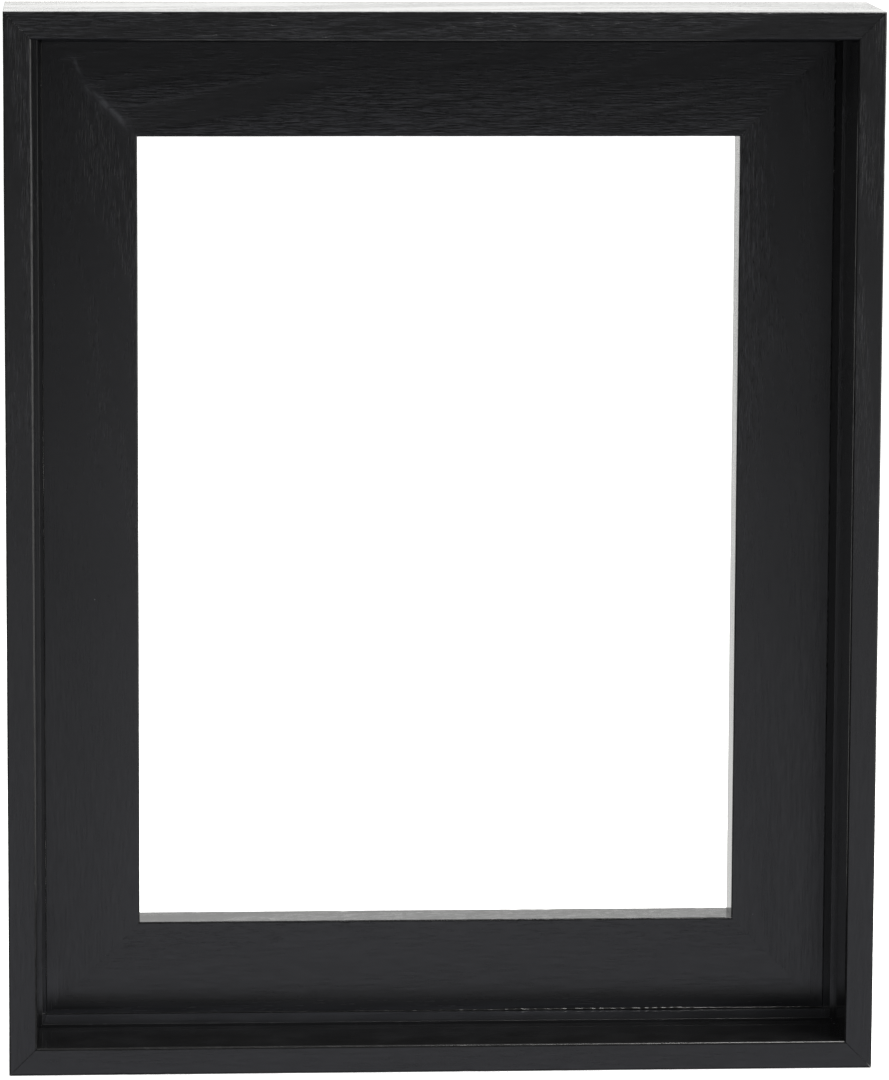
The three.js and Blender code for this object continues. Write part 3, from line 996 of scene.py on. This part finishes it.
# %% Material: satin black lacquer
BLACK_DEEP, BLACK_SOFT = (0.0028, 0.0028, 0.0025, 1), (0.0044, 0.0044, 0.0045, 1)
# Open grain and painted light: the paint turns to this lighter black towards the opening, and stays darker
# beside the recess wall as painted shade of the lip.
BLACK_OPEN_GRAIN_AND_LIGHT = (0.0118, 0.0118, 0.0125, 1)
PALE_STREAK = (0.040, 0.041, 0.045, 1)
# Painted light: the bluish grey that lifts the shaded recess beside the bottom seam.
PAINTED_SEAM_LIGHT_GREY = (0.026, 0.027, 0.031, 1)
BARE_BROWN = (0.050, 0.034, 0.022, 1)
RUBBED_GREY = (0.030, 0.030, 0.031, 1)
SCUFF_GREY = (0.095, 0.098, 0.105, 1)
DUST_GREY = (0.40, 0.41, 0.44, 1)
RELIEF_DEEP = 0.20 * MM


def black_lacquer():
    """Near-black paint over grain, thin on the back, rubbed on the edges, with a scuff along one mitre."""
    material, tree, shader, position = new_material("satin_black_lacquer", IOR=1.5)
    grain = use_group(tree, grain_group, Rail=mark(tree, "grain", "Vector"))
    wear = use_group(tree, wear_group, Edge=mark(tree, "edge"), Position=position, Amount=0.35)["Mask"]
    dust = use_group(tree, dust_group, Position=position, Specks=0.5, Haze=0.012)["Mask"]
    back = mark(tree, "back")
    axes = add_node(tree, "ShaderNodeSeparateXYZ")
    feed(tree, axes.inputs[0], position)
    relief = grain_relief(tree, grain["Figure"], axes.outputs["Z"])
    thin_figure = ramp(tree, grain["Figure"], 0.3, 0.7, 0.25, 0.8)
    thin = product(tree, back, thin_figure, ramp(tree, grain["Streaks"], 0.35, 0.65, 0.35, 1.0))
    scuff = mitre_scuff(tree, position, axes.outputs)
    paint = blend_colour(tree, grain["Figure"], BLACK_DEEP, BLACK_SOFT)
    for share, colour in (
        # Partly painted shade: the ledge is darker beside the recess wall and lighter towards the opening.
        (mark(tree, "open"), BLACK_OPEN_GRAIN_AND_LIGHT),
        (calc(tree, "MULTIPLY", ramp(tree, grain["Streaks"], 0.47, 0.64), relief), PALE_STREAK),
        # Painted light: the shaded recess beside the bottom seam is lifted to a bluish grey.
        (painted_seam_light(tree, axes.outputs["Z"]), PAINTED_SEAM_LIGHT_GREY),
        (thin, BARE_BROWN),
        (wear, RUBBED_GREY),
        (calc(tree, "MULTIPLY", scuff, 0.9), SCUFF_GREY),
        (dust, DUST_GREY),
    ):
        paint = blend_colour(tree, share, paint, colour)
    feed(tree, shader.inputs["Base Color"], paint)
    feed(tree, shader.inputs["Roughness"], lacquer_gloss(tree, grain, wear, back))
    height = calc(tree, "MULTIPLY_ADD", grain["Pores"], -0.35, grain["Streaks"])
    height = calc(tree, "MULTIPLY", height, relief)
    height = calc(tree, "MULTIPLY_ADD", noise(tree, position, 330.0, 1.0), 0.04, height)
    feed(tree, shader.inputs["Normal"], bump(tree, height, RELIEF_DEEP))
    return material


lacquer = black_lacquer()
for piece in rails:
    piece.data.materials.append(lacquer)
print("lacquer on", len(rails), "pieces")

# %% [markdown]
# ### Metal and rubber
#
# The straps, rings and nails are zinc plated: bright, with soft cloudy patches and fine rolling lines. The
# screws have a thin brass wash. Both are the same plating with other colours, so one function makes them.
# The bumpers are soft rubber with a fine moulded grain and a dusty bloom.

# %% Materials: zinc plate, brassed steel, rubber
def plated(name, first, second, rough_low, rough_high):
    """Plated steel: two cloud tones, rougher where it is paler, with fine scratches and dust."""
    material, tree, shader, position = new_material(name, Metallic=1.0)
    clouds = ramp(tree, noise(tree, position, 260.0, 4.0), 0.35, 0.65)
    dust = use_group(tree, dust_group, Position=position, Specks=0.4, Haze=0.1)["Mask"]
    colour = blend_colour(tree, clouds, first, second)
    colour = blend_colour(tree, dust, colour, (0.30, 0.29, 0.27, 1))
    feed(tree, shader.inputs["Base Color"], colour)
    scratches = noise(tree, stretched(tree, position, (2600, 2600, 260)), 1.0, 2.0)
    feed(tree, shader.inputs["Roughness"], ramp(tree, clouds, 0.0, 1.0, rough_low, rough_high))
    feed(tree, shader.inputs["Normal"], bump(tree, scratches, 0.006 * MM))
    return material


def bumper_rubber():
    """Matt black rubber: fine grain, a dusty bloom, and dust on what looks up."""
    material, tree, shader, position = new_material("bumper_rubber", IOR=1.45)
    bloom = ramp(tree, noise(tree, position, 150.0, 4.0), 0.3, 0.7)
    dust = use_group(tree, dust_group, Position=position, Specks=0.8, Haze=0.3)["Mask"]
    colour = blend_colour(tree, bloom, (0.012, 0.012, 0.012, 1), (0.022, 0.022, 0.023, 1))
    feed(tree, shader.inputs["Base Color"], blend_colour(tree, dust, colour, (0.25, 0.24, 0.23, 1)))
    feed(tree, shader.inputs["Roughness"], ramp(tree, bloom, 0.0, 1.0, 0.62, 0.8))
    feed(tree, shader.inputs["Normal"], bump(tree, noise(tree, position, 2400.0, 2.0), 0.02 * MM))
    return material


zinc = plated("zinc_plate", (0.50, 0.51, 0.52, 1), (0.66, 0.67, 0.68, 1), 0.24, 0.40)
brass = plated("brassed_steel", (0.56, 0.45, 0.24, 1), (0.68, 0.58, 0.34, 1), 0.22, 0.36)
rubber = bumper_rubber()
for pieces, finish in ((metal, zinc), (screws, brass), (bumpers, rubber)):
    for piece in pieces:
        piece.data.materials.append(finish)
print("materials:", [m.name for m in bpy.data.materials])

# %% [markdown]
# ## Floor
#
# The floor is one large pale plane under the frame. It glows a little, so that it stays even and pale all
# the way to the horizon without a strong light on it, and it is kept out of reflections, which the
# surroundings below take care of.

# %% Floor
def pale_floor():
    """A plain pale surface, lit evenly."""
    material, tree, shader, position = new_material("pale_floor", Roughness=0.9)
    mottle = noise(tree, position, 3.0, 2.0)
    feed(tree, shader.inputs["Base Color"], ramp(tree, mottle, 0.0, 1.0, 0.86, 0.90))
    shader.inputs["Emission Color"].default_value = (1, 1, 1, 1)
    shader.inputs["Emission Strength"].default_value = 0.62
    return material


FLOOR_HALF = 8.0
FLOOR_DROP = 0.1 * MM
corners = np.array([(-1, -1), (1, -1), (1, 1), (-1, 1)]) * FLOOR_HALF
corners = np.column_stack([corners, np.full(4, cad_low.z - FLOOR_DROP)])
floor_mesh = bpy.data.meshes.new("floor")
floor_mesh.from_pydata(corners.tolist(), [], [(0, 1, 2, 3)])
floor = bpy.data.objects.new("floor", floor_mesh)
bpy.context.collection.objects.link(floor)
floor.data.materials.append(pale_floor())
floor.visible_glossy = False
floor.visible_diffuse = False
floor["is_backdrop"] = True
print("floor at", cad_low.z)

# %% [markdown]
# ## Surroundings
#
# A black glossy object is lit by what it reflects, so the world is drawn for its reflections, and the
# camera alone sees plain white. Behind the frame stands a white backdrop, which fades upwards and has a
# brighter strip high up. In front the room is dark at eye height, a pale strip of table lies just below,
# and the ceiling is faint. That gives the ledge its slow change from dark at its top to lighter at its
# bottom. The bands are smooth steps of the direction's height, which is -1 straight down and 1 straight up.

# %% Surroundings
# Each band: the heights where it starts and ends, and its level at each.
BACKDROP_FOOT = (-0.06, 0.02, 1.08, 1.36)
BACKDROP_FADE = (0.08, 0.20, 1.0, 0.57)
BACKDROP_TOP = (0.46, 0.62, 1.0, 0.4)
STRIP_START = (0.27, 0.36, 0.0, 2.3)
STRIP_END = (0.46, 0.62, 1.0, 0.0)
TABLE_FAR = (-0.100, -0.170, 0.0, 1.14)
TABLE_NEAR = (-0.24, -0.42, 1.0, 0.15)
CEILING = (0.35, 0.55, 0.02, 0.35)
WARM_WHITE, COOL_WHITE = (1.0, 1.0, 0.985, 1), (0.95, 0.97, 1.10, 1)


def studio_world():
    """White to the camera. To reflections: backdrop and strip behind, table and ceiling in front."""
    world = bpy.data.worlds.new("studio")
    world.use_nodes = True
    tree = world.node_tree
    tree.nodes.clear()
    direction = add_node(tree, "ShaderNodeTexCoord").outputs["Generated"]
    parts = add_node(tree, "ShaderNodeSeparateXYZ")
    feed(tree, parts.inputs[0], direction)
    height = parts.outputs["Z"]
    behind = ramp(tree, parts.outputs["Y"], -0.10, 0.15)
    backdrop = product(tree, ramp(tree, height, *BACKDROP_FOOT), ramp(tree, height, *BACKDROP_FADE),
                       ramp(tree, height, *BACKDROP_TOP))
    strip = product(tree, ramp(tree, height, *STRIP_START), ramp(tree, height, *STRIP_END))
    backdrop = calc(tree, "ADD", backdrop, strip)
    middle = ramp(tree, calc(tree, "ABSOLUTE", parts.outputs["X"]), 0.30, 0.60, 1.0, 0.0)
    table = product(tree, ramp(tree, height, *TABLE_FAR), ramp(tree, height, *TABLE_NEAR), middle)
    ahead = calc(tree, "ADD", table, ramp(tree, height, *CEILING))
    from_behind = calc(tree, "MULTIPLY", behind, backdrop)
    from_ahead = calc(tree, "MULTIPLY", calc(tree, "SUBTRACT", 1.0, behind), ahead)
    level = calc(tree, "ADD", from_behind, from_ahead)
    cool = calc(tree, "SUBTRACT", ramp(tree, height, -0.12, -0.26), behind, clamp=True)
    tone = blend_colour(tree, cool, WARM_WHITE, COOL_WHITE)
    seen = add_node(tree, "ShaderNodeBackground")
    feed(tree, seen.inputs["Color"], (1, 1, 1, 1))
    seen.inputs["Strength"].default_value = 1.0
    lit = add_node(tree, "ShaderNodeBackground")
    feed(tree, lit.inputs["Color"], tone)
    feed(tree, lit.inputs["Strength"], level)
    mixed = add_node(tree, "ShaderNodeMixShader")
    feed(tree, mixed.inputs[0], add_node(tree, "ShaderNodeLightPath").outputs["Is Camera Ray"])
    tree.links.new(lit.outputs[0], mixed.inputs[1])
    tree.links.new(seen.outputs[0], mixed.inputs[2])
    tree.links.new(mixed.outputs[0], add_node(tree, "ShaderNodeOutputWorld").inputs[0])
    return world


bpy.context.scene.world = studio_world()
bpy.context.scene.view_settings.view_transform = "Standard"
print("world:", bpy.context.scene.world.name)

# %% [markdown]
# ## Soft lights
#
# Three broad lights stand in for a studio's soft boxes: a large one on the right, a smaller one high on the
# left, and one overhead, far to the right. Broad lights give the arrises long soft highlights. A small lamp
# would give the same brightness, and hard points.

# %% Soft lights
LIGHT_TONE = (1.0, 0.99, 0.97)


def soft_light(name, place, target, wide, high, power):
    """A rectangular soft light at a place, facing a target."""
    data = bpy.data.lights.new(name, "AREA")
    data.shape = "RECTANGLE"
    data.size, data.size_y, data.energy = wide, high, power
    data.color = LIGHT_TONE
    light = bpy.data.objects.new(name, data)
    light.location = place
    light.rotation_mode = "QUATERNION"
    light.rotation_quaternion = (Vector(target) - Vector(place)).to_track_quat("-Z", "Y")
    light.visible_camera = False
    bpy.context.collection.objects.link(light)


def towards(azimuth, elevation, distance):
    """A place seen from the middle of the frame in a direction given in degrees, 0 azimuth in front."""
    a, e = math.radians(azimuth), math.radians(elevation)
    away = Vector((math.sin(a) * math.cos(e), -math.cos(a) * math.cos(e), math.sin(e)))
    return Vector((0, 0, HALF_HEIGHT)) + away * distance


centre = Vector((0, 0, HALF_HEIGHT))
soft_light("window_right", towards(60, 14, 1.8), centre, 1.9, 1.85, 24)
soft_light("window_left", towards(-55, 33, 1.8), centre, 1.7, 0.8, 10)
soft_light("overhead", (0.64, -0.22, 1.35), (0.64, -0.22, 0.0), 0.9, 0.5, 26)
print("lights:", len(bpy.data.lights))

# %% [markdown]
# ## Camera
#
# The camera stands a little to the left and above, far away with a long lens, which keeps the sides of the
# frame nearly parallel. Its turn is built from three directions: back towards the camera, right, and up. A
# Track To constraint could aim it, but would not give the small roll.

# %% Camera
AZIMUTH, ELEVATION, ROLL = -3.372, 8.556, 0.247
DISTANCE, LENS = 1.8516, 203.05
AIM = Vector((0, FRONT_Y, HALF_HEIGHT + 2.73 * MM))

a, e, roll = (math.radians(v) for v in (AZIMUTH, ELEVATION, ROLL))
back = Vector((math.sin(a) * math.cos(e), -math.cos(a) * math.cos(e), math.sin(e)))
level_right = Vector((math.cos(a), math.sin(a), 0))
level_up = back.cross(level_right)
right = math.cos(roll) * level_right + math.sin(roll) * level_up
up_way = math.cos(roll) * level_up - math.sin(roll) * level_right
camera_data = bpy.data.cameras.new("camera")
camera_data.lens = LENS
camera_data.sensor_width = 36
camera = bpy.data.objects.new("camera", camera_data)
camera.rotation_mode = "QUATERNION"
camera.rotation_quaternion = Matrix((right, up_way, back)).transposed().to_quaternion()
camera.location = AIM + back * DISTANCE
bpy.context.collection.objects.link(camera)
bpy.context.scene.camera = camera
print("camera at", tuple(round(v, 3) for v in camera.location))

# %% [markdown]
# ## Sizes
#
# The box of the finer surfaces is printed here, to set beside the fixed model's box printed at the start.
# The finer surfaces have to stay within the fixed model's box.

# %% Sizes, and the last line
low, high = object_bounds()
print("visual box:", tuple(low), tuple(high))
